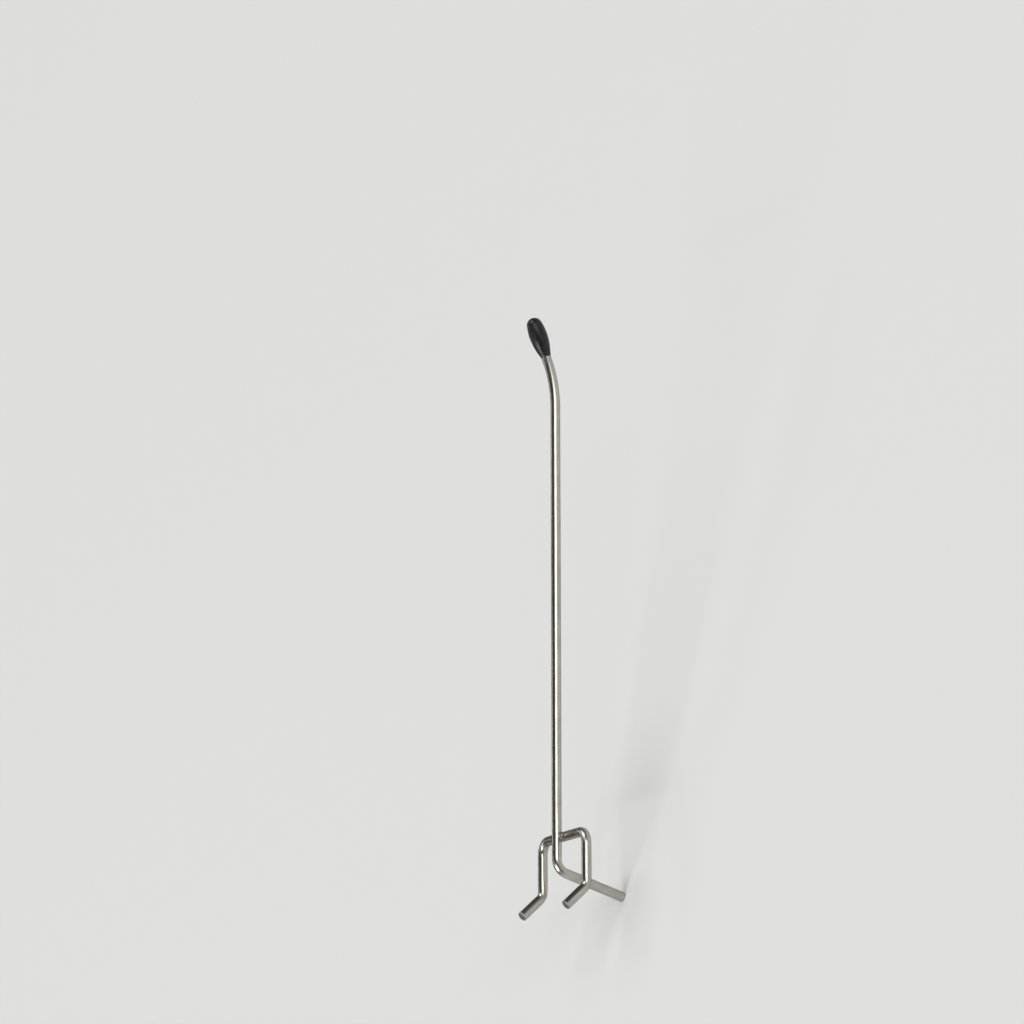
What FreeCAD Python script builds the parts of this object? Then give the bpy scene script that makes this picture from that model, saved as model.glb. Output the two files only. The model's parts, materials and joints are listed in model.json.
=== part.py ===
import FreeCAD, Part
import math
import os

import Sketcher
from FreeCAD import Vector

# Wire pegboard hook, in millimetres, as it hangs on the board.
# The origin is on the board's front face, midway between the two pegs, level with the holes.
# +Y goes into the board, -Y is the way the shank points, +Z is up.
# Both wires are drawn in the shank's own frame: its origin is the corner between tail and shank,
# its -Y runs out along the shank and its +Z is the side the tip turns to.

SIZES = [
    ("wire_diameter", "2.68", "both wires"),
    ("shank_length", "136.2", "from the tail corner to the tip corner"),
    ("shank_rise", "12", "degrees that the shank climbs away from the board"),
    ("tail_length", "21.3", "from the tail corner to the cut end"),
    ("tail_angle", "73", "degrees from the shank's line, behind the corner, down to the tail"),
    ("tail_bend_radius", "4.0", "centre line of the bend into the tail"),
    ("tip_rise", "22.5", "degrees that the tip turns up from the shank"),
    ("tip_bend_radius", "36", "centre line of the long bend into the tip"),
    ("tip_bare", "0.35", "straight wire between that bend and the cover"),
    ("peg_spacing", "25.4", "between the two pegs, one pitch of the board's holes"),
    ("crossbar_setback", "9.25", "from the tail corner out to the cross bar"),
    ("crossbar_bend_radius", "3.5", "centre line of the bends from cross bar to legs"),
    ("leg_length", "14.95", "from the cross bar back to the peg's corner"),
    ("peg_length", "8.8", "from the peg's corner to its cut end"),
    ("peg_rise", "47.5", "degrees that a peg turns up from its leg"),
    ("peg_bend_radius", "3.0", "centre line of the bend into a peg"),
    ("weld_depth", "0.35", "how far the shank is pressed into the cross bar"),
    ("weld_collar_inset", "0.05", "how far the metal squeezed out at the weld stays inside the wires' width"),
    ("weld_collar_rise", "0.55", "height of that metal above the shank's underside"),
    ("cut_edge_radius", "0.25", "rim of the sheared ends"),
    ("vinyl_grip", "10.5", "length of wire inside the cover"),
    ("vinyl_end", "0.9", "thickness of the cover past the wire's end"),
    ("vinyl_bulb_wall", "1.2", "wall of the cover at its thickest place, near the middle"),
    ("vinyl_swell", "0.34", "how much wider the drop's middle is than its round end"),
    ("vinyl_belly_radius", "16", "arc along the drop's side"),
    ("vinyl_lip", "0.14", "wall of the cover at its mouth"),
    ("vinyl_lip_radius", "0.06", "rounded rim of the mouth"),
    ("board_thickness", "3.2", "the board that the pegs pass through"),
]

NEAR = 0.001

doc = FreeCAD.newDocument("pegboard_hook")
sheet = doc.addObject("Spreadsheet::Sheet", "dims")
for row, (alias, value, meaning) in enumerate(SIZES, start=1):
    sheet.set(f"A{row}", alias)
    sheet.set(f"B{row}", value)
    sheet.set(f"C{row}", meaning)
    sheet.setAlias(f"B{row}", alias)
doc.recompute()


def size(alias):
    return float(sheet.get(alias))


# Places that several pieces share, as expressions on the sheet.
CROSSBAR_DROP = "(dims.wire_diameter - dims.weld_depth)"
TAIL_SLOPE = "(dims.tail_angle + dims.shank_rise)"
PEG_SLOPE = "(dims.peg_rise - dims.shank_rise)"
PEG_BEND_SETBACK = "(dims.peg_bend_radius * tan(dims.peg_rise / 2))"
PEG_CORNER_BACK = "(dims.leg_length - dims.crossbar_setback)"

# The rounded rim of the tail's cut end rests on the board, so the tail corner stands this far in front.
STANDOFF = (
    f"((dims.tail_length - dims.cut_edge_radius) * cos({TAIL_SLOPE})"
    f" + (dims.wire_diameter / 2 - dims.cut_edge_radius) * sin({TAIL_SLOPE}) + dims.cut_edge_radius)"
)

# The line of each peg meets the middle of the board's thickness at the height of the hole's centre.
PEG_CORNER_Y = (
    f"({PEG_CORNER_BACK} * cos(dims.shank_rise) - {CROSSBAR_DROP} * sin(dims.shank_rise) - {STANDOFF})"
)
PEG_CORNER_DROP = (
    f"({PEG_CORNER_BACK} * sin(dims.shank_rise) + {CROSSBAR_DROP} * cos(dims.shank_rise))"
)
CORNER_HEIGHT = (
    f"({PEG_CORNER_DROP} - tan({PEG_SLOPE}) * (dims.board_thickness / 2 - {PEG_CORNER_Y}))"
)

# The tip's wire runs straight from the end of its bend, so that the cover sits on a straight stretch.
TIP_LENGTH = "(dims.tip_bend_radius * tan(dims.tip_rise / 2) + dims.tip_bare + dims.vinyl_grip)"

# Where the tip's wire ends, and how steeply it climbs there.
TIP_SLOPE = "(dims.shank_rise + dims.tip_rise)"
TIP_END_OUT = (
    f"({STANDOFF} + dims.shank_length * cos(dims.shank_rise) + {TIP_LENGTH} * cos({TIP_SLOPE}))"
)
TIP_END_HEIGHT = (
    f"({CORNER_HEIGHT} + dims.shank_length * sin(dims.shank_rise) + {TIP_LENGTH} * sin({TIP_SLOPE}))"
)


def add_body(label):
    body = doc.addObject("PartDesign::Body", label)
    body.Label = label
    return body


def place_body(body, forward, height, climb):
    """Stand a body at its place: out from the board, up, and turned up by its climb."""
    body.Placement = FreeCAD.Placement(Vector(0, 0, 0), FreeCAD.Rotation(Vector(1, 0, 0), -1))
    body.setExpression("Placement.Base.y", f"-{forward}")
    body.setExpression("Placement.Base.z", height)
    body.setExpression("Placement.Rotation.Angle", f"-{climb}")


def add_sketch(body, name, role, offset="0"):
    """A sketch on one of the body's own planes, moved along that plane's normal."""
    sketch = body.newObject("Sketcher::SketchObject", name)
    plane = next(feature for feature in body.Origin.OriginFeatures if feature.Role == role)
    sketch.AttachmentSupport = [(plane, "")]
    sketch.MapMode = "FlatFace"
    sketch.setExpression("AttachmentOffset.Base.z", offset)
    return sketch


def fix(sketch, name, expression, *constraint):
    """Add a dimension to a sketch and tie it to the sheet."""
    index = sketch.addConstraint(Sketcher.Constraint(*constraint))
    sketch.renameConstraint(index, name)
    sketch.setExpression(f"Constraints.{name}", expression)


def nearest_end(sketch, curve, point):
    """The end of a curve, start (1) or finish (2), that lies nearer to a point."""
    to_start = (sketch.getPoint(curve, 1) - point).Length
    to_finish = (sketch.getPoint(curve, 2) - point).Length
    return 1 if to_start < to_finish else 2


def bent_path(sketch, corners, radii):
    """Straight runs through the corners, joined by tangent bends. Returns the runs and the bends."""
    starts = [corners[0]]
    finishes = []
    middles = []
    for before, corner, after, radius in zip(corners, corners[1:], corners[2:], radii):
        into = (corner - before).normalize()
        out = (after - corner).normalize()
        half_turn = into.getAngle(out) / 2
        setback = radius * math.tan(half_turn)
        inward = (out - into).normalize()
        middles.append(corner + inward * radius * (1 / math.cos(half_turn) - 1))
        finishes.append(corner - into * setback)
        starts.append(corner + out * setback)
    finishes.append(corners[-1])
    runs = []
    bends = []
    for index, (start, finish) in enumerate(zip(starts, finishes)):
        runs.append(sketch.addGeometry(Part.LineSegment(start, finish), False))
        if index < len(middles):
            arc = Part.Arc(finish, middles[index], starts[index + 1])
            bends.append(sketch.addGeometry(arc, False))
    for index, bend in enumerate(bends):
        enters = nearest_end(sketch, bend, finishes[index])
        leaves = 3 - enters
        sketch.addConstraint(Sketcher.Constraint("Tangent", runs[index], 2, bend, enters))
        sketch.addConstraint(Sketcher.Constraint("Tangent", bend, leaves, runs[index + 1], 1))
    return runs, bends


def mark_corner(sketch, place, run_in, run_out):
    """A construction point where two runs would meet if they were not rounded."""
    corner = sketch.addGeometry(Part.Point(place), True)
    sketch.addConstraint(Sketcher.Constraint("PointOnObject", corner, 1, run_in))
    sketch.addConstraint(Sketcher.Constraint("PointOnObject", corner, 1, run_out))
    return corner


def add_circle(sketch, name, diameter, centre_y="0"):
    """A circle on the sketch's vertical axis, at a signed height on it."""
    circle = sketch.addGeometry(Part.Circle(Vector(0, 0, 0), Vector(0, 0, 1), 1.0), False)
    fix(sketch, f"{name}_diameter", diameter, "Diameter", circle, 2.0)
    sketch.addConstraint(Sketcher.Constraint("PointOnObject", circle, 3, -2))
    fix(sketch, f"{name}_height", centre_y, "DistanceY", -1, 1, circle, 3, 0.0)


def add_wire(body, name, path, start_edge):
    """Draw the round wire along a path, from the start of the path's first edge."""
    doc.recompute()
    section = body.newObject("Sketcher::SketchObject", f"{name}_section")
    section.AttachmentSupport = [(path, start_edge)]
    section.MapMode = "NormalToEdge"
    section.MapPathParameter = 0.0
    circle = section.addGeometry(Part.Circle(Vector(0, 0, 0), Vector(0, 0, 1), 1.0), False)
    section.addConstraint(Sketcher.Constraint("Coincident", circle, 3, -1, 1))
    fix(section, "wire", "dims.wire_diameter", "Diameter", circle, 2.0)
    pipe = body.newObject("PartDesign::AdditivePipe", name)
    pipe.Profile = section
    pipe.Spine = (path, [])
    doc.recompute()
    return pipe


def round_rims(body, name, rim_diameter, radius):
    """Round each edge that runs full circle, at a diameter, round a flat end of the body."""
    doc.recompute()
    base = body.Tip
    rims = []
    for face in base.Shape.Faces:
        if face.Surface.TypeId == "Part::GeomPlane":
            rims.extend(edge for edge in face.Edges if edge.isClosed())
    named_rims = []
    for number, edge in enumerate(base.Shape.Edges, start=1):
        on_flat_end = any(edge.isSame(rim) for rim in rims)
        if on_flat_end and abs(2 * edge.Curve.Radius - rim_diameter) < NEAR:
            named_rims.append(f"Edge{number}")
    fillet = body.newObject("PartDesign::Fillet", name)
    fillet.Base = (base, named_rims)
    fillet.setExpression("Radius", radius)


def make_hook_wire():
    """Tail, shank and upturned tip, bent from one wire in the upright plane."""
    body = add_body("hook_wire")
    path = add_sketch(body, "hook_path", "YZ_Plane")
    tail = math.radians(size("tail_angle"))
    rise = math.radians(size("tip_rise"))
    tail_corner = Vector(0, 0, 0)
    tail_end = Vector(math.cos(tail), -math.sin(tail), 0) * size("tail_length")
    tip_corner = Vector(-size("shank_length"), 0, 0)
    tip_length = size("tip_bend_radius") * math.tan(rise / 2) + size("tip_bare") + size("vinyl_grip")
    tip_end = tip_corner + Vector(-math.cos(rise), math.sin(rise), 0) * tip_length
    corners = [tail_end, tail_corner, tip_corner, tip_end]
    radii = [size("tail_bend_radius"), size("tip_bend_radius")]
    (tail_run, shank_run, tip_run), (tail_bend, tip_bend) = bent_path(path, corners, radii)
    path.addConstraint(Sketcher.Constraint("PointOnObject", -1, 1, tail_run))
    path.addConstraint(Sketcher.Constraint("PointOnObject", shank_run, 1, -1))
    path.addConstraint(Sketcher.Constraint("Horizontal", shank_run))
    tip_mark = mark_corner(path, tip_corner, shank_run, tip_run)
    fix(path, "tail_length", "dims.tail_length", "Distance", -1, 1, tail_run, 1, size("tail_length"))
    fix(path, "tail_angle", "180 - dims.tail_angle", "Angle", tail_run, math.pi - tail)
    fix(path, "tail_bend", "dims.tail_bend_radius", "Radius", tail_bend, size("tail_bend_radius"))
    fix(path, "shank_length", "dims.shank_length", "DistanceX", tip_mark, 1, -1, 1, size("shank_length"))
    fix(path, "tip_length", TIP_LENGTH, "Distance", tip_mark, 1, tip_run, 2, tip_length)
    fix(path, "tip_rise", "180 - dims.tip_rise", "Angle", tip_run, math.pi - rise)
    fix(path, "tip_bend", "dims.tip_bend_radius", "Radius", tip_bend, size("tip_bend_radius"))
    add_wire(body, "hook_sweep", path, "Edge1")
    round_rims(body, "hook_cut_ends", size("wire_diameter"), "dims.cut_edge_radius")
    place_body(body, STANDOFF, CORNER_HEIGHT, "dims.shank_rise")
    return body


def make_peg_wire():
    """Cross bar, legs and pegs, with the saddle where the shank is welded on."""
    body = add_body("peg_wire")
    drop = f"-{CROSSBAR_DROP}"
    half_spacing = size("peg_spacing") / 2
    front = -size("crossbar_setback")
    peg_rise = math.radians(size("peg_rise"))
    leg_finish = front + size("leg_length") - size("peg_bend_radius") * math.tan(peg_rise / 2)

    frame_path = add_sketch(body, "crossbar_path", "XY_Plane", drop)
    corners = [
        Vector(-half_spacing, leg_finish, 0),
        Vector(-half_spacing, front, 0),
        Vector(half_spacing, front, 0),
        Vector(half_spacing, leg_finish, 0),
    ]
    bend_radius = size("crossbar_bend_radius")
    (left_leg, crossbar, right_leg), bends = bent_path(frame_path, corners, [bend_radius, bend_radius])
    frame_path.addConstraint(Sketcher.Constraint("Vertical", left_leg))
    frame_path.addConstraint(Sketcher.Constraint("Horizontal", crossbar))
    frame_path.addConstraint(Sketcher.Constraint("Symmetric", left_leg, 1, right_leg, 2, -2))
    frame_path.addConstraint(Sketcher.Constraint("Equal", bends[0], bends[1]))
    fix(frame_path, "spacing", "dims.peg_spacing", "DistanceX", left_leg, 1, right_leg, 2, 2 * half_spacing)
    fix(frame_path, "setback", "dims.crossbar_setback", "DistanceY", crossbar, 1, -1, 1, -front)
    fix(frame_path, "bend", "dims.crossbar_bend_radius", "Radius", bends[0], bend_radius)
    straight_leg = f"dims.leg_length - {PEG_BEND_SETBACK}"
    fix(frame_path, "leg", straight_leg, "DistanceY", crossbar, 1, left_leg, 1, leg_finish - front)
    add_wire(body, "crossbar_sweep", frame_path, "Edge1")

    peg_path = add_sketch(body, "peg_path", "YZ_Plane", "dims.peg_spacing / 2")
    level = -(size("wire_diameter") - size("weld_depth"))
    peg_corner = Vector(front + size("leg_length"), level, 0)
    peg_end = peg_corner + Vector(math.cos(peg_rise), math.sin(peg_rise), 0) * size("peg_length")
    corners = [Vector(front, level, 0), peg_corner, peg_end]
    (leg_run, peg_run), (peg_bend,) = bent_path(peg_path, corners, [size("peg_bend_radius")])
    peg_path.setConstruction(leg_run, True)
    peg_path.addConstraint(Sketcher.Constraint("Horizontal", leg_run))
    peg_mark = mark_corner(peg_path, peg_corner, leg_run, peg_run)
    fix(peg_path, "level", CROSSBAR_DROP, "DistanceY", leg_run, 1, -1, 1, -level)
    fix(peg_path, "front", "dims.crossbar_setback", "DistanceX", leg_run, 1, -1, 1, -front)
    fix(peg_path, "leg", "dims.leg_length", "DistanceX", leg_run, 1, peg_mark, 1, size("leg_length"))
    fix(peg_path, "peg", "dims.peg_length", "Distance", peg_mark, 1, peg_run, 2, size("peg_length"))
    fix(peg_path, "rise", "dims.peg_rise", "Angle", peg_run, peg_rise)
    fix(peg_path, "bend", "dims.peg_bend_radius", "Radius", peg_bend, size("peg_bend_radius"))
    right_peg = add_wire(body, "right_peg_sweep", peg_path, "Edge1")

    left_peg = body.newObject("PartDesign::Mirrored", "left_peg_sweep")
    left_peg.Originals = [right_peg]
    upright = next(feature for feature in body.Origin.OriginFeatures if feature.Role == "YZ_Plane")
    left_peg.MirrorPlane = (upright, [""])
    body.Tip = left_peg
    doc.recompute()

    collar_sketch = add_sketch(body, "collar_outline", "XY_Plane", drop)
    collar_diameter = "dims.wire_diameter - 2 * dims.weld_collar_inset"
    add_circle(collar_sketch, "collar", collar_diameter, "-dims.crossbar_setback")
    collar = body.newObject("PartDesign::Pad", "weld_collar")
    collar.Profile = collar_sketch
    collar.setExpression("Length", f"{CROSSBAR_DROP} - dims.wire_diameter / 2 + dims.weld_collar_rise")
    doc.recompute()

    saddle_sketch = add_sketch(body, "saddle_outline", "XZ_Plane")
    add_circle(saddle_sketch, "shank", "dims.wire_diameter")
    saddle = body.newObject("PartDesign::Pocket", "weld_saddle")
    saddle.Profile = saddle_sketch
    saddle.Type = "ThroughAll"
    saddle.Reversed = True
    round_rims(body, "peg_cut_ends", size("wire_diameter"), "dims.cut_edge_radius")
    place_body(body, STANDOFF, CORNER_HEIGHT, "dims.shank_rise")
    return body


def on_arc(centre, radius, turn):
    """The point of an arc that lies at a turn, in radians, round its centre."""
    return centre + Vector(math.cos(turn), math.sin(turn), 0) * radius


def make_vinyl_tip():
    """Dipped cover: a blind sleeve, thin at its mouth, with a round end and a swollen middle."""
    body = add_body("vinyl_tip")
    wire = size("wire_diameter") / 2
    bulb = wire + size("vinyl_bulb_wall")
    dome_radius = bulb - size("vinyl_swell")
    belly_radius = size("vinyl_belly_radius")
    grip = size("vinyl_grip")
    end = size("vinyl_end")
    mouth = Vector(grip, wire + size("vinyl_lip"), 0)
    half_section = add_sketch(body, "vinyl_half_section", "YZ_Plane")

    dome_centre = Vector(dome_radius - end, 0, 0)
    belly_depth = belly_radius - bulb
    belly_run = math.sqrt((belly_radius - dome_radius) ** 2 - belly_depth**2)
    belly_centre = Vector(dome_centre.x + belly_run, -belly_depth, 0)
    blend_turn = math.atan2(belly_depth, -belly_run)
    to_mouth = mouth - belly_centre
    taper_turn = math.atan2(to_mouth.y, to_mouth.x) + math.acos(belly_radius / to_mouth.Length)

    touch = on_arc(belly_centre, belly_radius, taper_turn)
    belly_middle = on_arc(belly_centre, belly_radius, (taper_turn + blend_turn) / 2)
    blend = on_arc(belly_centre, belly_radius, blend_turn)
    dome_middle = on_arc(dome_centre, dome_radius, (blend_turn + math.pi) / 2)
    outline = [
        Vector(-end, 0, 0),
        Vector(0, 0, 0),
        Vector(0, wire, 0),
        Vector(grip, wire, 0),
        mouth,
        touch,
    ]
    edges = []
    for start, finish in zip(outline, outline[1:]):
        edges.append(half_section.addGeometry(Part.LineSegment(start, finish), False))
    axis, bore_end, bore_wall, rim, taper = edges
    belly = half_section.addGeometry(Part.Arc(touch, belly_middle, blend), False)
    dome = half_section.addGeometry(Part.Arc(blend, dome_middle, outline[0]), False)
    for first, second in zip(edges, edges[1:]):
        half_section.addConstraint(Sketcher.Constraint("Coincident", first, 2, second, 1))
    belly_start = nearest_end(half_section, belly, touch)
    dome_start = nearest_end(half_section, dome, blend)
    half_section.addConstraint(Sketcher.Constraint("Tangent", taper, 2, belly, belly_start))
    half_section.addConstraint(Sketcher.Constraint("Tangent", belly, 3 - belly_start, dome, dome_start))
    half_section.addConstraint(Sketcher.Constraint("Coincident", dome, 3 - dome_start, axis, 1))
    half_section.addConstraint(Sketcher.Constraint("PointOnObject", dome, 3, -1))
    half_section.addConstraint(Sketcher.Constraint("Coincident", axis, 2, -1, 1))
    half_section.addConstraint(Sketcher.Constraint("Horizontal", axis))
    half_section.addConstraint(Sketcher.Constraint("Vertical", bore_end))
    half_section.addConstraint(Sketcher.Constraint("Horizontal", bore_wall))
    half_section.addConstraint(Sketcher.Constraint("Vertical", rim))
    bulb_size = "(dims.wire_diameter / 2 + dims.vinyl_bulb_wall)"
    fix(half_section, "end", "dims.vinyl_end", "DistanceX", axis, 1, axis, 2, end)
    fix(half_section, "bore", "dims.wire_diameter / 2", "DistanceY", bore_end, 1, bore_end, 2, wire)
    fix(half_section, "grip", "dims.vinyl_grip", "DistanceX", bore_wall, 1, bore_wall, 2, grip)
    fix(half_section, "lip", "dims.vinyl_lip", "DistanceY", rim, 1, rim, 2, mouth.y - wire)
    fix(half_section, "dome", f"{bulb_size} - dims.vinyl_swell", "Radius", dome, dome_radius)
    fix(half_section, "belly", "dims.vinyl_belly_radius", "Radius", belly, belly_radius)
    bulb_depth = f"dims.vinyl_belly_radius - {bulb_size}"
    fix(half_section, "bulb", bulb_depth, "DistanceY", belly, 3, -1, 1, belly_depth)

    turned = body.newObject("PartDesign::Revolution", "vinyl_turned")
    turned.Profile = half_section
    turned.ReferenceAxis = (half_section, ["H_Axis"])
    turned.Angle = 360
    round_rims(body, "vinyl_mouth", 2 * mouth.y, "dims.vinyl_lip_radius")
    place_body(body, TIP_END_OUT, TIP_END_HEIGHT, TIP_SLOPE)
    return body


def check(bodies):
    """Stop if any object failed or any piece is not one sound solid."""
    for item in doc.Objects:
        if "Invalid" in item.State or "Error" in item.State:
            raise RuntimeError(f"{item.Name} failed: {item.State}")
    for body in bodies:
        shape = body.Shape
        if shape.isNull() or not shape.isValid() or len(shape.Solids) != 1:
            raise RuntimeError(f"{body.Label} is not one valid solid")


pieces = [make_hook_wire(), make_peg_wire(), make_vinyl_tip()]
doc.recompute()
check(pieces)
os.makedirs("parts", exist_ok=True)
for piece in pieces:
    piece.Shape.exportStep(f"parts/{piece.Label}.step")
    box = piece.Shape.BoundBox
    print(
        f"{piece.Label}: volume {piece.Shape.Volume:.1f} mm3, "
        f"x {box.XMin:.2f} to {box.XMax:.2f}, y {box.YMin:.2f} to {box.YMax:.2f}, "
        f"z {box.ZMin:.2f} to {box.ZMax:.2f}"
    )
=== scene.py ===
# %% [markdown]
# # A wire pegboard hook
# The real hook is two lengths of steel wire. One is bent into a tail, a long shank and an upturned tip.
# The other is bent into a cross bar with two legs, each ending in a peg that goes through the board.
# They are welded where they cross, plated bright, and the tip is dipped in black vinyl.
# The solids already have the true sizes, so this lesson gives the hook its looks without moving anything.

# %% Load the solids
import json
import math
from collections import namedtuple

import bpy
import numpy as np
from mathutils import Matrix, Vector, noise


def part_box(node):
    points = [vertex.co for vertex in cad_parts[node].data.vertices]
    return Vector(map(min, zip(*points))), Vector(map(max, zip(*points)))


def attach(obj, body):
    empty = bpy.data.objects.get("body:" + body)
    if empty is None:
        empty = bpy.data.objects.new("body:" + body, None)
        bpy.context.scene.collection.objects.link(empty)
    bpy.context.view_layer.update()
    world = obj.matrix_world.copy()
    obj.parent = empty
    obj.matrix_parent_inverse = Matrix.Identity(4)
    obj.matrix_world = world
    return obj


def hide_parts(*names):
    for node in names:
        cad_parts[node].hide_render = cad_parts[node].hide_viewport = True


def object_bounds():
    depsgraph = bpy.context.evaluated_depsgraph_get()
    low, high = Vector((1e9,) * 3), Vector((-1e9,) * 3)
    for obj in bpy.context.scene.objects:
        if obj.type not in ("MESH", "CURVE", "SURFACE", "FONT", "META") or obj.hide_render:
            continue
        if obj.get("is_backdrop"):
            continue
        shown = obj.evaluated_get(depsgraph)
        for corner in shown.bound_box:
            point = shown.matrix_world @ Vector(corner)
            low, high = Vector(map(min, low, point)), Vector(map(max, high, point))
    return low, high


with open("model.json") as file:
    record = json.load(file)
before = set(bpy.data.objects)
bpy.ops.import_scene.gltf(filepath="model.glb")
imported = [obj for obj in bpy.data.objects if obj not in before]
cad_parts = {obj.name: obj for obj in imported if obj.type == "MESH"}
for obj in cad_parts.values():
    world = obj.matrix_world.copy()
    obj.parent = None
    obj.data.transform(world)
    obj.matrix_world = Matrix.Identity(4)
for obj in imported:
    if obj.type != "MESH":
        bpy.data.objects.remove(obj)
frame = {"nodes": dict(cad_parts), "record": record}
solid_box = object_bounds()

print("solids loaded:", sorted(frame["nodes"]))

# %% [markdown]
# ## Measures taken from the solids
# Every length below either comes from the imported record or is given here as a number.
# The record knows the wire's radius, the line of the shank and the line of a peg, because those are
# places where other things touch the hook. Reading them here keeps the looks tied to the solids.

# %% Lines and planes of the hook
MM = 0.001
mounts = {mount["name"]: mount for mount in frame["record"]["mounts"]}
wire_radius = mounts["right_peg"]["dims"]["r_mm"] * MM
shank_middle = Vector(mounts["hanging_rail"]["pos_m"])
outward = Vector(mounts["hanging_rail"]["axis"]).normalized()
sideways = Vector((1, 0, 0))
upward = outward.cross(sideways)
shank_climb = math.asin(outward.z)
print(f"wire radius {wire_radius / MM:.2f} mm, the shank climbs {math.degrees(shank_climb):.1f} degrees")

# %% Lengths and bends of the two wires
SHANK_LENGTH = 136.2 * MM
TAIL_LENGTH = 21.3 * MM
TAIL_ANGLE = math.radians(73)
TAIL_BEND = 4.0 * MM
TIP_RISE = math.radians(22.5)
TIP_BEND = 36.0 * MM
TIP_BARE = 0.35 * MM
VINYL_GRIP = 10.5 * MM
CROSSBAR_BEND = 3.5 * MM
PEG_BEND = 3.0 * MM
WELD_DEPTH = 0.35 * MM
CUT_EDGE = 0.25 * MM
tip_length = TIP_BEND * math.tan(TIP_RISE / 2) + TIP_BARE + VINYL_GRIP
print(f"shank {SHANK_LENGTH / MM:.1f} mm, tail {TAIL_LENGTH / MM:.1f} mm, tip {tip_length / MM:.1f} mm")

# %% [markdown]
# ## The line of a bent wire
# A wire bender thinks in straight runs and bends: so far straight, then round a pin of some radius.
# A curve object with a bevel would also draw a wire, but its bends would be splines, not true arcs,
# and it would not say how tightly the wire is bent at each place. So the line is worked out here as
# stations a fraction of a millimetre apart, each with its direction and the side the bend turns to.

# %% Stations along runs and bends
STATION_STEP = 0.3 * MM
FEWEST_BEND_STEPS = 4
Station = namedtuple("Station", "point direction inward")


def run_stations(start, finish):
    """Evenly spaced stations on a straight run, without its last point."""
    span = finish - start
    count = max(1, round(span.length / STATION_STEP))
    direction = span.normalized()
    return [Station(start + span * (step / count), direction, Vector()) for step in range(count)]


def bend_stations(start, direction, axis, radius, turn):
    """Evenly spaced stations round a bend, without its last point."""
    centre = start + axis.cross(direction) * radius
    count = max(FEWEST_BEND_STEPS, round(radius * turn / STATION_STEP))
    stations = []
    for step in range(count):
        swing = Matrix.Rotation(turn * step / count, 3, axis)
        inward = swing @ axis.cross(direction)
        stations.append(Station(centre - inward * radius, swing @ direction, inward))
    return stations


def bent_line(corners, radii):
    """Stations along straight runs through the corners, joined by tangent bends of the given radii."""
    stations = []
    start = corners[0]
    for corner, after, radius in zip(corners[1:], corners[2:], radii):
        into = (corner - start).normalized()
        out = (after - corner).normalized()
        turn = into.angle(out)
        setback = radius * math.tan(turn / 2)
        bend_start = corner - into * setback
        stations += run_stations(start, bend_start)
        stations += bend_stations(bend_start, into, into.cross(out).normalized(), radius, turn)
        start = corner + out * setback
    stations += run_stations(start, corners[-1])
    stations.append(Station(corners[-1], stations[-1].direction, Vector()))
    return stations


print(f"one station every {STATION_STEP / MM:.1f} mm")

# %% [markdown]
# ## From a line to a wire
# The wire's skin is a ring of points at each station. The rings are carried along without twisting, so
# the drawing lines that the die left on the wire run straight along it and follow every bend.
# Each point also remembers where it lay on the straight wire before bending. The finish reads that
# place, which is why its fine lines bend with the wire and have no seam.
# A real bend is not perfectly round in section: the wire flattens a little across the bend, and the
# forming pin leaves a shallow dent on the inner side. Both are made in the mesh.

# %% How a bend changes the wire's section
RING_POINTS = 48
RING_ANGLES = [2 * math.pi * spoke / RING_POINTS for spoke in range(RING_POINTS)]
BEND_FLATTENS = 0.045
PIN_DENT = 0.05 * MM
DENT_NARROWNESS = 4
TIGHT_BEND = 4.0 * MM
BLEND_LENGTH = 0.9 * MM


def bend_shares(stations):
    """How tightly the wire is bent at each station, 1 in a tight bend, eased where bends begin and end."""
    shares = np.zeros(len(stations))
    for index in range(1, len(stations) - 1):
        turn = stations[index - 1].direction.angle(stations[index + 1].direction, 0.0)
        step = (stations[index + 1].point - stations[index - 1].point).length
        shares[index] = min(1.0, turn / step * TIGHT_BEND)
    half = round(BLEND_LENGTH / STATION_STEP)
    easing = np.hanning(2 * half + 3)[1:-1]
    return np.convolve(shares, easing / easing.sum(), mode="same")


def bend_sides(stations):
    """The inner side of the nearest bend at each station."""
    sides = np.array([station.inward for station in stations])
    bent = np.flatnonzero(np.linalg.norm(sides, axis=1) > 0.5)
    nearest = bent[np.abs(np.arange(len(sides))[:, None] - bent[None, :]).argmin(axis=1)]
    return sides[nearest]


print(f"tight bends flatten the wire by {BEND_FLATTENS:.1%} and dent it by {PIN_DENT / MM:.2f} mm")

# %% Rings of points along the wire
Skin = namedtuple("Skin", "places unbent bend cut")


def carried_sides(stations):
    """A direction square to the wire at each station, carried along without twisting."""
    first = stations[0].direction.orthogonal().normalized()
    sides = [first]
    for before, after in zip(stations, stations[1:]):
        turn = before.direction.rotation_difference(after.direction)
        sides.append((turn @ sides[-1]).normalized())
    return np.array(sides)


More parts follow.
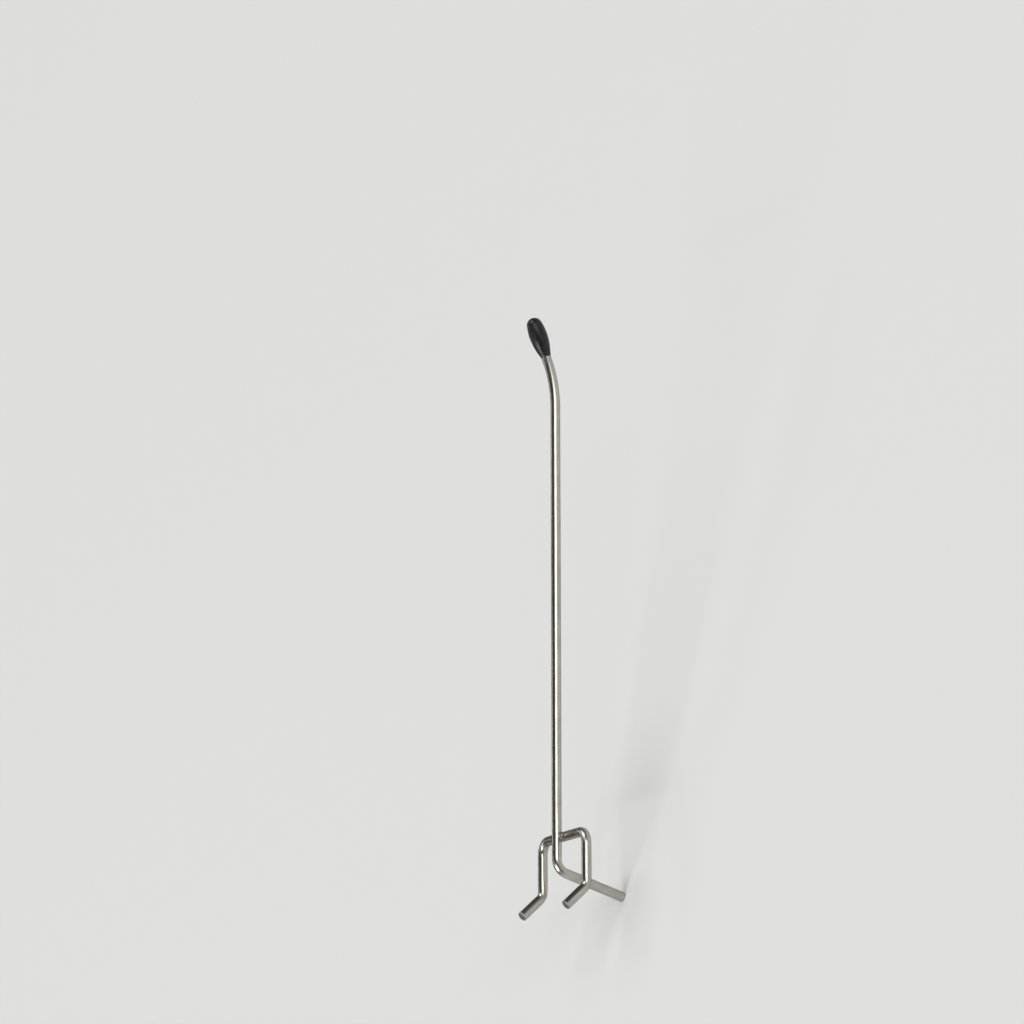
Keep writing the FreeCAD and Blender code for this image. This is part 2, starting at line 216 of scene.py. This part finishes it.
def wire_rings(stations):
    """The rings of the drawn surface, one a station."""
    points = np.array([station.point for station in stations])
    directions = np.array([station.direction for station in stations])
    sides = carried_sides(stations)
    others = np.cross(directions, sides)
    angles = np.array(RING_ANGLES)
    side_shares = np.cos(angles)[None, :, None]
    other_shares = np.sin(angles)[None, :, None]
    spokes = side_shares * sides[:, None, :] + other_shares * others[:, None, :]
    shares = bend_shares(stations)[:, None]
    facing = np.einsum("ijk,ik->ij", spokes, bend_sides(stations))
    radii = wire_radius * (1 - BEND_FLATTENS * shares * facing**2)
    radii = radii - PIN_DENT * shares * np.clip(facing, 0, 1) ** DENT_NARROWNESS
    places = points[:, None, :] + radii[:, :, None] * spokes
    steps = np.linalg.norm(np.diff(points, axis=0), axis=1)
    along = np.concatenate([[0.0], np.cumsum(steps)])
    unbent = np.empty_like(places)
    unbent[:, :, 0] = along[:, None]
    unbent[:, :, 1] = wire_radius * np.cos(angles)[None, :]
    unbent[:, :, 2] = wire_radius * np.sin(angles)[None, :]
    bend = np.repeat(shares, RING_POINTS, axis=1)
    return Skin(places, unbent, bend, np.zeros_like(bend)), sides, others


print(f"{RING_POINTS} points to a ring")

# %% [markdown]
# ## Sheared ends
# The wire is cropped by a shear before it is bent. The blade first rolls the edge over, then cuts a
# smooth band, and at last the steel tears, so the face leans a little and one half of it is rough.
# A flat disc would catch the light like a mirror. Here the rim is rounded and the face is a few rings
# with a lean and a torn half, all inside the length of the solid.

# %% Rings of a sheared end
RIM_STEPS = 4
FACE_RINGS = 7
FACE_LEAN = 0.10 * MM
TEAR_DEPTH = 0.045 * MM
TEAR_GRAIN = 4200.0
TEAR_START = -0.12
TEAR_SUDDENNESS = 14
TEAR_MEAN = 0.6
TEAR_SWING = 0.7


def face_relief(across, beside, seed):
    """How far the sheared face lies behind the wire's full length, at a place on it from -1 to 1."""
    lean = FACE_LEAN * (1 - beside) / 2
    torn = 1 / (1 + math.exp(TEAR_SUDDENNESS * (beside - TEAR_START)))
    grain = noise.noise(Vector((across, beside, seed)) * TEAR_GRAIN * wire_radius)
    return lean + torn * TEAR_DEPTH * (TEAR_MEAN + TEAR_SWING * grain)


def end_rings(point, direction, side, other, along, seed):
    """The rings of one cut end, from the rolled rim to the middle of the face."""
    rings = []
    flat_radius = wire_radius - CUT_EDGE
    steps = []
    for step in range(1, RIM_STEPS + 1):
        tilt = math.radians(90) * step / RIM_STEPS
        steps.append((flat_radius + CUT_EDGE * math.cos(tilt), CUT_EDGE * math.sin(tilt), math.sin(tilt)))
    for ring in range(1, FACE_RINGS):
        steps.append((flat_radius * (1 - ring / FACE_RINGS), CUT_EDGE, 1.0))
    for radius, advance, cut in steps:
        places = np.empty((RING_POINTS, 3))
        unbent = np.empty((RING_POINTS, 3))
        for spoke, angle in enumerate(RING_ANGLES):
            across = radius / wire_radius * math.cos(angle)
            beside = radius / wire_radius * math.sin(angle)
            reach = advance - cut * face_relief(across, beside, seed)
            offset = side * across + other * beside
            places[spoke] = point + offset * wire_radius + direction * reach
            unbent[spoke] = (along, across * wire_radius, beside * wire_radius)
        rings.append(Skin(places, unbent, np.zeros(RING_POINTS), np.full(RING_POINTS, cut)))
    return rings


print(f"cut faces lean {FACE_LEAN / MM:.2f} mm and tear {TEAR_DEPTH / MM:.3f} mm deep")

# %% [markdown]
# ## Sewing the rings into a mesh
# Neighbouring rings are joined by quads, and the last small ring at each end is closed by one face.
# Blender could skin a curve by itself, but such a skin would carry no facts. Here the three that the
# finish needs later go along as mesh attributes: the unbent place, how tight the bend is, and how far a
# point belongs to a cut end.

# %% Faces between rings


def ring_faces(ring_count, closed):
    """Quads between neighbouring rings, with both ends closed, or the last ring joined to the first."""
    faces = []
    last = ring_count if closed else ring_count - 1
    for ring in range(last):
        here = ring * RING_POINTS
        there = (ring + 1) % ring_count * RING_POINTS
        for spoke in range(RING_POINTS):
            after = (spoke + 1) % RING_POINTS
            faces.append((here + spoke, here + after, there + after, there + spoke))
    if not closed:
        faces.append(tuple(reversed(range(RING_POINTS))))
        faces.append(tuple(range((ring_count - 1) * RING_POINTS, ring_count * RING_POINTS)))
    return faces


print(f"{RING_POINTS} quads from one ring to the next")

# %% Mesh with facts on its points


def add_mesh(name, places, faces):
    """A smooth-shaded mesh object in the hook's own frame."""
    mesh = bpy.data.meshes.new(name)
    mesh.from_pydata(places.reshape(-1, 3).tolist(), [], faces)
    mesh.validate()
    mesh.shade_smooth()
    piece = bpy.data.objects.new(name, mesh)
    bpy.context.scene.collection.objects.link(piece)
    return piece


def remember(piece, name, kind, values):
    """Store one fact per point on the mesh, for the finish to read."""
    field = "vector" if kind == "FLOAT_VECTOR" else "value"
    attribute = piece.data.attributes.new(name, kind, "POINT")
    attribute.data.foreach_set(field, np.asarray(values, dtype=np.float32).ravel())


print("facts on each point:", Skin._fields[1:])

# %% A whole wire


def make_wire(name, corners, radii, seed):
    """A drawn, bent and cropped wire through the corners."""
    into = (corners[1] - corners[0]).normalized()
    out = (corners[-1] - corners[-2]).normalized()
    trimmed = [corners[0] + into * CUT_EDGE, *corners[1:-1], corners[-1] - out * CUT_EDGE]
    stations = bent_line(trimmed, radii)
    skin, sides, others = wire_rings(stations)
    first_side, first_other = Vector(sides[0]), Vector(others[0])
    last_side, last_other = Vector(sides[-1]), Vector(others[-1])
    length = skin.unbent[-1, 0, 0]
    start = end_rings(stations[0].point, -into, first_side, first_other, 0.0, seed)[::-1]
    finish = end_rings(stations[-1].point, out, last_side, last_other, length, seed + 1.0)
    rings = [*start, *(Skin(*facts) for facts in zip(*skin)), *finish]
    places = np.array([ring.places for ring in rings])
    wire = add_mesh(name, places, ring_faces(len(rings), closed=False))
    remember(wire, "unbent", "FLOAT_VECTOR", [ring.unbent for ring in rings])
    remember(wire, "bend", "FLOAT", [ring.bend for ring in rings])
    remember(wire, "cut", "FLOAT", [ring.cut for ring in rings])
    print(f"{name}: {(length + 2 * CUT_EDGE) / MM:.1f} mm of wire, {len(rings)} rings")
    return wire


print(f"each cut end adds {RIM_STEPS + FACE_RINGS - 1} rings to a wire")

# %% [markdown]
# ## The hook wire
# This wire carries the goods. Its tail leans back under the shank until the cut end rests on the board,
# which stops the hook from tipping. The shank is one long straight run, and the tip turns up in a long
# easy bend so that nothing slides off. The corners could be typed in as points, but then they would not
# follow the solids. So the tail's corner is found from the board: its face is the plane Y = 0, and the
# rolled rim of the tail just touches it.

# %% Hook wire from tail to tip
HOOK_SEED = 1.0
tail_slope = TAIL_ANGLE + shank_climb
standoff = (
    (TAIL_LENGTH - CUT_EDGE) * math.cos(tail_slope)
    + (wire_radius - CUT_EDGE) * math.sin(tail_slope)
    + CUT_EDGE
)
tail_corner = shank_middle + outward * ((-standoff - shank_middle.y) / outward.y)
tail_end = tail_corner + (-outward * math.cos(TAIL_ANGLE) - upward * math.sin(TAIL_ANGLE)) * TAIL_LENGTH
tip_corner = tail_corner + outward * SHANK_LENGTH
tip_direction = outward * math.cos(TIP_RISE) + upward * math.sin(TIP_RISE)
tip_end = tip_corner + tip_direction * tip_length
hook_corners = [tail_end, tail_corner, tip_corner, tip_end]
hook_wire = make_wire("drawn_hook_wire", hook_corners, [TAIL_BEND, TIP_BEND], HOOK_SEED)

# %% [markdown]
# ## The peg wire
# The second wire lies across under the shank. Both of its legs run back to the board, parallel to the
# shank, and then turn up into the pegs, which hook behind the board's back face.
# The record gives the line of each peg. The leg lies one wire below the shank, less the depth of the
# weld, so the peg's corner is where these two lines meet, and the cross bar's place comes from the box
# of the solid.

# %% Peg wire from peg to peg
PEG_SEED = 5.0
crossbar_drop = 2 * wire_radius - WELD_DEPTH
peg_mount = mounts["right_peg"]
peg_middle = Vector(peg_mount["pos_m"])
peg_direction = Vector(peg_mount["axis"]).normalized()
peg_end = peg_middle + peg_direction * (peg_mount["dims"]["length_mm"] * MM / 2 + CUT_EDGE)
peg_height = (peg_middle - shank_middle).dot(upward) + crossbar_drop
peg_corner = peg_middle - peg_direction * (peg_height / peg_direction.dot(upward))
crossbar_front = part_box("peg_wire")[0].y + wire_radius
frame_corner = peg_corner + outward * ((crossbar_front - peg_corner.y) / outward.y)
right_half = [peg_end, peg_corner, frame_corner]
left_half = [Vector((-place.x, place.y, place.z)) for place in reversed(right_half)]
peg_wire_bends = [PEG_BEND, CROSSBAR_BEND, CROSSBAR_BEND, PEG_BEND]
peg_wire = make_wire("drawn_peg_wire", right_half + left_half, peg_wire_bends, PEG_SEED)

# %% [markdown]
# ## The weld
# The two wires are pressed together while a current melts the spot where they touch. They sink into each
# other by a third of a millimetre, and a little metal is squeezed out all round as a bead.
# A torus would look too neat, so the bead follows the crease between the wires: at each angle its height
# is halfway between the top of the cross bar and the underside of the shank, and its thickness wanders.

# %% Bead of squeezed-out metal
BEAD_STEPS = 96
BEAD_REACH = 1.05 * MM
BEAD_WIDTH = 0.30 * MM
BEAD_HEIGHT = 0.27 * MM
BEAD_WANDER = 0.30
BEAD_LUMPS = 2.2
BEAD_SEED = 7.0


def bead_ring(angle, weld_centre):
    """One ring of the bead, at an angle round the weld."""
    lump = Vector((BEAD_LUMPS * math.cos(angle), BEAD_LUMPS * math.sin(angle), BEAD_SEED))
    wander = 1 + BEAD_WANDER * noise.noise(lump)
    spoke = sideways * math.cos(angle) + outward * math.sin(angle)
    across = BEAD_REACH * math.cos(angle)
    along = BEAD_REACH * math.sin(angle)
    crossbar_top = math.sqrt(wire_radius**2 - along**2)
    shank_underside = crossbar_drop - math.sqrt(wire_radius**2 - across**2)
    middle = weld_centre + spoke * BEAD_REACH + upward * ((crossbar_top + shank_underside) / 2)
    ring = []
    for turn in RING_ANGLES:
        outwards = spoke * BEAD_WIDTH * wander * math.cos(turn)
        ring.append(middle + outwards + upward * BEAD_HEIGHT * wander * math.sin(turn))
    return ring


weld_centre = Vector((0, frame_corner.y, frame_corner.z))
bead_angles = [2 * math.pi * step / BEAD_STEPS for step in range(BEAD_STEPS)]
bead_places = np.array([bead_ring(angle, weld_centre) for angle in bead_angles])
weld_bead = add_mesh("weld_bead", bead_places, ring_faces(BEAD_STEPS, closed=True))
remember(weld_bead, "unbent", "FLOAT_VECTOR", bead_places)
remember(weld_bead, "bend", "FLOAT", np.ones(bead_places.shape[:2]))
remember(weld_bead, "cut", "FLOAT", np.zeros(bead_places.shape[:2]))
print(f"weld bead {2 * (BEAD_REACH + BEAD_WIDTH) / MM:.1f} mm across")

# %% [markdown]
# ## The vinyl tip
# The finished tip is warmed, dipped in liquid vinyl and hung to cure. The vinyl runs towards the end and
# gathers there, so the cover is a drop: round at the end, swollen in the middle, thin where the dip ended.
# A stretched sphere would be too pointed, so a profile of two arcs and a taper is turned on the tip's own
# axis, as on a lathe. The line where the dip stopped is never quite level, so the mouth wanders a little,
# and the skin has the soft unevenness of something poured.

# %% Profile of the drop
VINYL_END = 0.9 * MM
BULB_RADIUS = wire_radius + 1.2 * MM
DOME_RADIUS = BULB_RADIUS - 0.34 * MM
BELLY_RADIUS = 16.0 * MM
MOUTH_RADIUS = wire_radius + 0.14 * MM
LIP_ROUND = 0.06 * MM
BORE_BITE = 0.02 * MM
DOME_STEPS = 26
BELLY_STEPS = 30
TAPER_STEPS = 16
LIP_STEPS = 5


def arc_points(centre_run, centre_radius, radius, first_turn, last_turn, steps):
    """Points round an arc of the profile, without its first one."""
    points = []
    for step in range(1, steps + 1):
        turn = first_turn + (last_turn - first_turn) * step / steps
        points.append((centre_run + radius * math.cos(turn), centre_radius + radius * math.sin(turn)))
    return points


def drop_profile():
    """(distance from the wire's end towards the mouth, radius) from the round end to the mouth and inside."""
    dome_centre = DOME_RADIUS - VINYL_END
    belly_depth = BELLY_RADIUS - BULB_RADIUS
    belly_run = math.sqrt((BELLY_RADIUS - DOME_RADIUS) ** 2 - belly_depth**2)
    belly_centre = dome_centre + belly_run
    blend_turn = math.atan2(belly_depth, -belly_run)
    mouth_run = VINYL_GRIP - belly_centre
    mouth_rise = MOUTH_RADIUS + belly_depth
    mouth_reach = math.hypot(mouth_run, mouth_rise)
    taper_turn = math.atan2(mouth_rise, mouth_run) + math.acos(BELLY_RADIUS / mouth_reach)
    profile = arc_points(dome_centre, 0, DOME_RADIUS, math.pi, blend_turn, DOME_STEPS)
    profile += arc_points(belly_centre, -belly_depth, BELLY_RADIUS, blend_turn, taper_turn, BELLY_STEPS)
    touch_run, touch_radius = profile[-1]
    lip_run = VINYL_GRIP - LIP_ROUND
    for step in range(1, TAPER_STEPS + 1):
        share = step / TAPER_STEPS
        run = touch_run + (lip_run - touch_run) * share
        profile.append((run, touch_radius + (MOUTH_RADIUS - touch_radius) * share))
    profile += arc_points(lip_run, MOUTH_RADIUS - LIP_ROUND, LIP_ROUND, math.pi / 2, 0, LIP_STEPS)
    profile.append((VINYL_GRIP, wire_radius - BORE_BITE))
    profile.append((VINYL_GRIP / 2, wire_radius - BORE_BITE))
    return profile


print(f"drop {2 * BULB_RADIUS / MM:.2f} mm thick, {(VINYL_GRIP + VINYL_END) / MM:.1f} mm long")

# %% Cover turned from the profile
MOUTH_WANDER = 0.16 * MM
MOUTH_FADE = 6
FIRST_WAVE_START = 0.6
SECOND_WAVE_START = 2.0
SECOND_WAVE = 0.5
SKIN_WANDER = 0.035 * MM
SKIN_INSET = 0.7
SKIN_LUMPS = 1.3
SKIN_STRETCH = 260


def mouth_wave(angle):
    """The slow wave of the line where the dip stopped."""
    return math.sin(angle + FIRST_WAVE_START) + SECOND_WAVE * math.sin(2 * angle + SECOND_WAVE_START)


def drop_ring(run, radius):
    """One ring of the cover, with the unevenness of a dipped skin."""
    ring = []
    toward_mouth = max(0.0, run / VINYL_GRIP)
    for angle in RING_ANGLES:
        ray = sideways * math.cos(angle) + tip_side * math.sin(angle)
        slip = MOUTH_WANDER * toward_mouth**MOUTH_FADE * mouth_wave(angle)
        lump = noise.noise(Vector((math.cos(angle), math.sin(angle), run * SKIN_STRETCH)) * SKIN_LUMPS)
        skin = SKIN_WANDER * (lump - SKIN_INSET) if radius > wire_radius else 0.0
        ring.append(tip_end - tip_direction * (run + slip) + ray * (radius + skin))
    return ring


tip_side = sideways.cross(tip_direction)
drop_places = np.array([drop_ring(run, radius) for run, radius in drop_profile()])
vinyl_cover = add_mesh("dipped_vinyl_cover", drop_places, ring_faces(len(drop_places), closed=False))
print(f"cover has {len(drop_places)} rings, its mouth wanders {MOUTH_WANDER / MM:.2f} mm")

# %% [markdown]
# ## Bright plating
# Bright zinc on drawn wire is a mirror that has been scratched lengthwise: the die leaves fine lines all
# along the wire, and the plating is slightly cloudy from patch to patch. In tight bends the skin is
# stretched and a little duller. At the cropped ends the bath covers torn steel, which looks grey.
# A metal shader with an even roughness would look like plastic chrome, so the unbent place drives long
# thin noise for the lines, and the bend and cut facts make those places duller. The lines also darken the
# colour in their grooves: that darkening is painted shade.

# %% Node helpers


def start_finish(name):
    """A new material with its node tree and its one surface shader."""
    finish = bpy.data.materials.new(name)
    finish.use_nodes = True
    return finish, finish.node_tree, finish.node_tree.nodes["Principled BSDF"]


def feed(tree, socket, value):
    """Link a value that is another socket, or set a plain one."""
    if isinstance(value, bpy.types.NodeSocket):
        tree.links.new(value, socket)
    else:
        socket.default_value = value


def add_node(tree, kind, settings=None, **inputs):
    """A node with its settings and input values; an input that is a socket is linked."""
    node = tree.nodes.new(kind)
    for key, value in (settings or {}).items():
        setattr(node, key, value)
    for key, value in inputs.items():
        feed(tree, node.inputs[key.replace("_", " ")], value)
    return node


print("nodes are added and fed by name")

# %% Noise, ranges, sums and mixes


def stretched_noise(tree, place, scale, detail):
    """Noise whose grain has a length of its own along each axis, from grains per metre."""
    mapped = add_node(tree, "ShaderNodeMapping", Vector=place, Scale=scale)
    return add_node(tree, "ShaderNodeTexNoise", Vector=mapped.outputs["Vector"], Scale=1.0, Detail=detail)


def spread(tree, value, low, high, first=0.3, last=0.7):
    """Bring the middle stretch of a 0 to 1 value into a range."""
    limits = {"From_Min": first, "From_Max": last, "To_Min": low, "To_Max": high}
    return add_node(tree, "ShaderNodeMapRange", {"clamp": True}, Value=value, **limits).outputs["Result"]


def reckon(tree, operation, first, second):
    """One arithmetic step between two values."""
    node = add_node(tree, "ShaderNodeMath", {"operation": operation})
    for socket, value in zip(node.inputs, (first, second)):
        feed(tree, socket, value)
    return node.outputs["Value"]


def plus(tree, first, second):
    """The sum of two values."""
    return reckon(tree, "ADD", first, second)


def times(tree, first, second):
    """The product of two values."""
    return reckon(tree, "MULTIPLY", first, second)


def mix_colours(tree, share, first, second):
    """A colour between two, by a share from 0 to 1."""
    node = add_node(tree, "ShaderNodeMix", {"data_type": "RGBA"})
    feed(tree, node.inputs["Factor"], share)
    colours = [socket for socket in node.inputs if socket.type == "RGBA"]
    for socket, value in zip(colours, (first, second)):
        feed(tree, socket, value)
    return next(socket for socket in node.outputs if socket.type == "RGBA")


print("helpers for noise, ranges, sums and mixes ready")

# %% Plated wire finish
PLATE_CLEAR = (0.55, 0.525, 0.48, 1)
PLATE_CLOUDY = (0.43, 0.41, 0.37, 1)
# The groove colour is painted shade in the grooves of the die lines.
DIE_GROOVE_SHADE = (0.27, 0.253, 0.227, 1)
TORN_STEEL = (0.30, 0.29, 0.275, 1)
PLATE_EDGE = (0.425, 0.40, 0.37, 1)
DIE_LINE_GRAIN = (70, 7000, 7000)
DIE_BAND_GRAIN = (25, 1500, 1500)
CLOUD_GRAIN = (220, 500, 500)
GROOVE_SHADE_RANGE = (0.5, 0.75)
GROOVE_SHADE_SHARE = 0.8
LINE_DEPTH = 0.012 * MM
LINE_SHARE = 0.5
LINE_BUMP = 0.6
ROUGH_CLEAR = 0.14
ROUGH_CLOUDY = 0.28
BEND_DULLS = 0.06
CUT_DULLS = 0.22


def plated_wire(name):
    """Bright plating over drawn wire, with die lines whose grooves hold painted shade, clouds, dull bends and
    torn ends.
    """
    finish, tree, shader = start_finish(name)
    place = add_node(tree, "ShaderNodeAttribute", {"attribute_name": "unbent"}).outputs["Vector"]
    bend = add_node(tree, "ShaderNodeAttribute", {"attribute_name": "bend"}).outputs["Fac"]
    cut = add_node(tree, "ShaderNodeAttribute", {"attribute_name": "cut"}).outputs["Fac"]
    lines = stretched_noise(tree, place, DIE_LINE_GRAIN, detail=3.0).outputs["Fac"]
    bands = stretched_noise(tree, place, DIE_BAND_GRAIN, detail=2.0).outputs["Fac"]
    clouds = stretched_noise(tree, place, CLOUD_GRAIN, detail=4.0).outputs["Fac"]
    plate = mix_colours(tree, spread(tree, clouds, 0.0, 1.0), PLATE_CLEAR, PLATE_CLOUDY)
    # Painted shade: the die lines darken the plating towards the groove colour.
    groove_shade = spread(tree, lines, 0.0, GROOVE_SHADE_SHARE, *GROOVE_SHADE_RANGE)
    groove_shaded = mix_colours(tree, groove_shade, plate, DIE_GROOVE_SHADE)
    colour = mix_colours(tree, cut, groove_shaded, TORN_STEEL)
    tree.links.new(colour, shader.inputs["Base Color"])
    patches = times(tree, plus(tree, clouds, bands), 0.5)
    rough = spread(tree, patches, ROUGH_CLEAR, ROUGH_CLOUDY)
    rough = plus(tree, rough, times(tree, bend, BEND_DULLS))
    rough = plus(tree, rough, times(tree, cut, CUT_DULLS))
    tree.links.new(rough, shader.inputs["Roughness"])
    height = plus(tree, times(tree, lines, LINE_SHARE), bands)
    bump = add_node(tree, "ShaderNodeBump", Height=height, Strength=LINE_BUMP, Distance=LINE_DEPTH)
    tree.links.new(bump.outputs["Normal"], shader.inputs["Normal"])
    shader.inputs["Metallic"].default_value = 1.0
    shader.inputs["Specular Tint"].default_value = PLATE_EDGE
    print(f"{name}: {len(tree.nodes)} nodes")
    return finish


hook_plating = plated_wire("hook_plating")
peg_plating = plated_wire("peg_plating")
hook_wire.data.materials.append(hook_plating)
weld_bead.data.materials.append(peg_plating)
peg_wire.data.materials.append(peg_plating)

# %% [markdown]
# ## Soft black vinyl
# Cured vinyl is nearly black with a soft gloss. Up close its skin has the faint ripple of orange peel,
# a few slow waves from running before it set, and patches that are duller from handling.
# The ripple is bump, because it is far finer than the mesh; the drop's real unevenness is in the mesh.

# %% Vinyl finish
VINYL_DEEP = (0.009, 0.009, 0.010, 1)
VINYL_DUSTY = (0.019, 0.0185, 0.018, 1)
PEEL_GRAIN = (2600, 2600, 2600)
WAVE_GRAIN = (420, 420, 420)
PEEL_DEPTH = 0.02 * MM
PEEL_SHARE = 0.35
PEEL_BUMP = 0.5
VINYL_GLOSSY = 0.20
VINYL_RUBBED = 0.34
VINYL_SHINE = 0.3


def soft_vinyl(name):
    """Near-black dipped vinyl with a soft gloss and an orange-peel skin."""
    finish, tree, shader = start_finish(name)
    place = add_node(tree, "ShaderNodeTexCoord").outputs["Object"]
    peel = stretched_noise(tree, place, PEEL_GRAIN, detail=2.0).outputs["Fac"]
    waves = stretched_noise(tree, place, WAVE_GRAIN, detail=3.0).outputs["Fac"]
    colour = mix_colours(tree, spread(tree, waves, 0.0, 1.0), VINYL_DEEP, VINYL_DUSTY)
    tree.links.new(colour, shader.inputs["Base Color"])
    tree.links.new(spread(tree, waves, VINYL_GLOSSY, VINYL_RUBBED), shader.inputs["Roughness"])
    height = plus(tree, times(tree, peel, PEEL_SHARE), waves)
    bump = add_node(tree, "ShaderNodeBump", Height=height, Strength=PEEL_BUMP, Distance=PEEL_DEPTH)
    tree.links.new(bump.outputs["Normal"], shader.inputs["Normal"])
    shader.inputs["Specular IOR Level"].default_value = VINYL_SHINE
    print(f"{name}: {len(tree.nodes)} nodes")
    return finish


vinyl_cover.data.materials.append(soft_vinyl("black_vinyl"))

# %% [markdown]
# ## Tying the looks to the solids
# Each drawn piece stands for its solid, which is hidden, and rides on the hook's one rigid body. Its finish
# was named after the record's slot, so the solid and its looks stay one thing. The weld bead has no solid
# of its own and only rides along.

# %% Ride and replace the solids
for piece, slot, node in (
    (hook_wire, "hook_plating", "hook_wire"),
    (peg_wire, "peg_plating", "peg_wire"),
    (vinyl_cover, "black_vinyl", "vinyl_tip"),
    (weld_bead, "peg_plating", None),
):
    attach(piece, "root")
    if node:
        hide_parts(node)
    print(f"{piece.name} rides on root with the finish {slot}")

# %% [markdown]
# ## Floor
# The hook stays as it hangs on a board, so the floor is only a pale sheet under it for the shadow to fall
# on. It is level with the lowest point of the tail, and wide enough to fill every view.

# %% Pale floor
FLOOR_HALF = 4.0
FLOOR_COLOUR = (0.80, 0.80, 0.79, 1)
FLOOR_SHINE = 0.1
floor_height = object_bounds()[0].z
floor_mesh = bpy.data.meshes.new("floor")
floor_turns = ((-1, -1), (1, -1), (1, 1), (-1, 1))
floor_corners = [(side * FLOOR_HALF, depth * FLOOR_HALF, floor_height) for side, depth in floor_turns]
floor_mesh.from_pydata(floor_corners, [], [(0, 1, 2, 3)])
floor = bpy.data.objects.new("floor", floor_mesh)
bpy.context.scene.collection.objects.link(floor)
floor_finish, _, floor_shader = start_finish("floor_paper")
floor_shader.inputs["Base Color"].default_value = FLOOR_COLOUR
floor_shader.inputs["Roughness"].default_value = 1.0
floor_shader.inputs["Specular IOR Level"].default_value = FLOOR_SHINE
floor_mesh.materials.append(floor_finish)
floor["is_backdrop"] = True
print(f"floor at {floor_height / MM:.1f} mm")

# %% [markdown]
# ## Studio light
# Shiny wire shows its surroundings more than its own colour, so the light is planned as what the wire will
# reflect: one tall, dim soft box beside the camera for the long bright line, a thin one across from it, and
# a sky that is grey at the horizon and dark above, which draws the dark edge beside that line. One strong
# box would burn the line out to white. So most of the light comes from two wide boxes off the hook's ends,
# which the shank does not mirror towards this camera. All stand well back, so the floor is lit evenly.

# %% Sky
SKY_HORIZON = (0.40, 0.40, 0.40, 1)
SKY_TOP = (0.06, 0.06, 0.06, 1)
HORIZON_HEIGHT = 0.10
TOP_HEIGHT = 0.30
world = bpy.data.worlds.new("studio")
bpy.context.scene.world = world
world.use_nodes = True
sky_tree = world.node_tree
sky_direction = add_node(sky_tree, "ShaderNodeTexCoord").outputs["Generated"]
sky_height = add_node(sky_tree, "ShaderNodeSeparateXYZ", Vector=sky_direction).outputs["Z"]
sky_share = spread(sky_tree, sky_height, 0.0, 1.0, HORIZON_HEIGHT, TOP_HEIGHT)
sky_colour = mix_colours(sky_tree, sky_share, SKY_HORIZON, SKY_TOP)
sky_tree.links.new(sky_colour, sky_tree.nodes["Background"].inputs["Color"])
print("sky from grey horizon to dark top")

# %% Soft boxes
hook_middle = (solid_box[0] + solid_box[1]) / 2


def from_hook(azimuth, elevation):
    """The direction from the hook to a place, by compass angle and height, both in degrees."""
    turn, climb = math.radians(azimuth), math.radians(elevation)
    return Vector((math.sin(turn) * math.cos(climb), -math.cos(turn) * math.cos(climb), math.sin(climb)))


def soft_box(name, azimuth, elevation, distance, width, height, watts):
    """A flat lamp that faces the hook."""
    lamp = bpy.data.lights.new(name, "AREA")
    lamp.shape = "RECTANGLE"
    lamp.size = width
    lamp.size_y = height
    lamp.energy = watts
    holder = bpy.data.objects.new(name, lamp)
    direction = from_hook(azimuth, elevation)
    holder.location = hook_middle + direction * distance
    holder.rotation_euler = direction.to_track_quat("Z", "Y").to_euler()
    bpy.context.scene.collection.objects.link(holder)
    print(f"{name}: {watts} W from {azimuth} degrees round, {elevation} degrees up")


soft_box("key_box", azimuth=278, elevation=31, distance=7.0, width=3.0, height=5.6, watts=155)
soft_box("fill_box", azimuth=96, elevation=40, distance=3.4, width=3.2, height=0.7, watts=14)
soft_box("front_box", azimuth=0, elevation=58, distance=7.0, width=6.0, height=4.0, watts=215)
soft_box("back_box", azimuth=180, elevation=38, distance=7.0, width=6.0, height=3.0, watts=290)

# %% [markdown]
# ## Camera
# The photograph looks at the hook's left side from a little above, with the shank pointing up the picture,
# so the camera is rolled. The lens is long, as product photographs are taken from a step back.

# %% Camera at the photograph's angle
VIEW_AZIMUTH = 250.72
VIEW_ELEVATION = 23.2
VIEW_ROLL = math.radians(71.06)
VIEW_DISTANCE = 1.4143
PICTURE_WIDTH = 0.28085
SENSOR_WIDTH = 36.0
view_aim = Vector((0, -0.09625, 0.03733))
camera_data = bpy.data.cameras.new("camera")
camera_data.sensor_width = SENSOR_WIDTH
camera_data.lens = SENSOR_WIDTH * VIEW_DISTANCE / PICTURE_WIDTH
camera = bpy.data.objects.new("camera", camera_data)
bpy.context.scene.collection.objects.link(camera)
back = from_hook(VIEW_AZIMUTH, VIEW_ELEVATION)
level_right = Vector((0, 0, 1)).cross(back).normalized()
level_up = back.cross(level_right)
picture_up = level_up * math.cos(VIEW_ROLL) + level_right * math.sin(VIEW_ROLL)
picture_right = picture_up.cross(back)
turned = Matrix((picture_right, picture_up, back)).transposed().to_4x4()
camera.matrix_world = Matrix.Translation(view_aim + back * VIEW_DISTANCE) @ turned
bpy.context.scene.camera = camera
bpy.context.scene.view_settings.view_transform = "Standard"
print(f"lens {camera_data.lens:.1f} mm")

# %% [markdown]
# ## Last measure
# The looks must not outgrow the solids. Both boxes are printed side by side, in millimetres.

# %% Print the boxes and finish
looks_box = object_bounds()
boxes = {
    "cad_box": [list(corner) for corner in solid_box],
    "visual_box": [list(corner) for corner in looks_box],
}
for label, box in boxes.items():
    print(label, [[round(value / MM, 2) for value in corner] for corner in box])
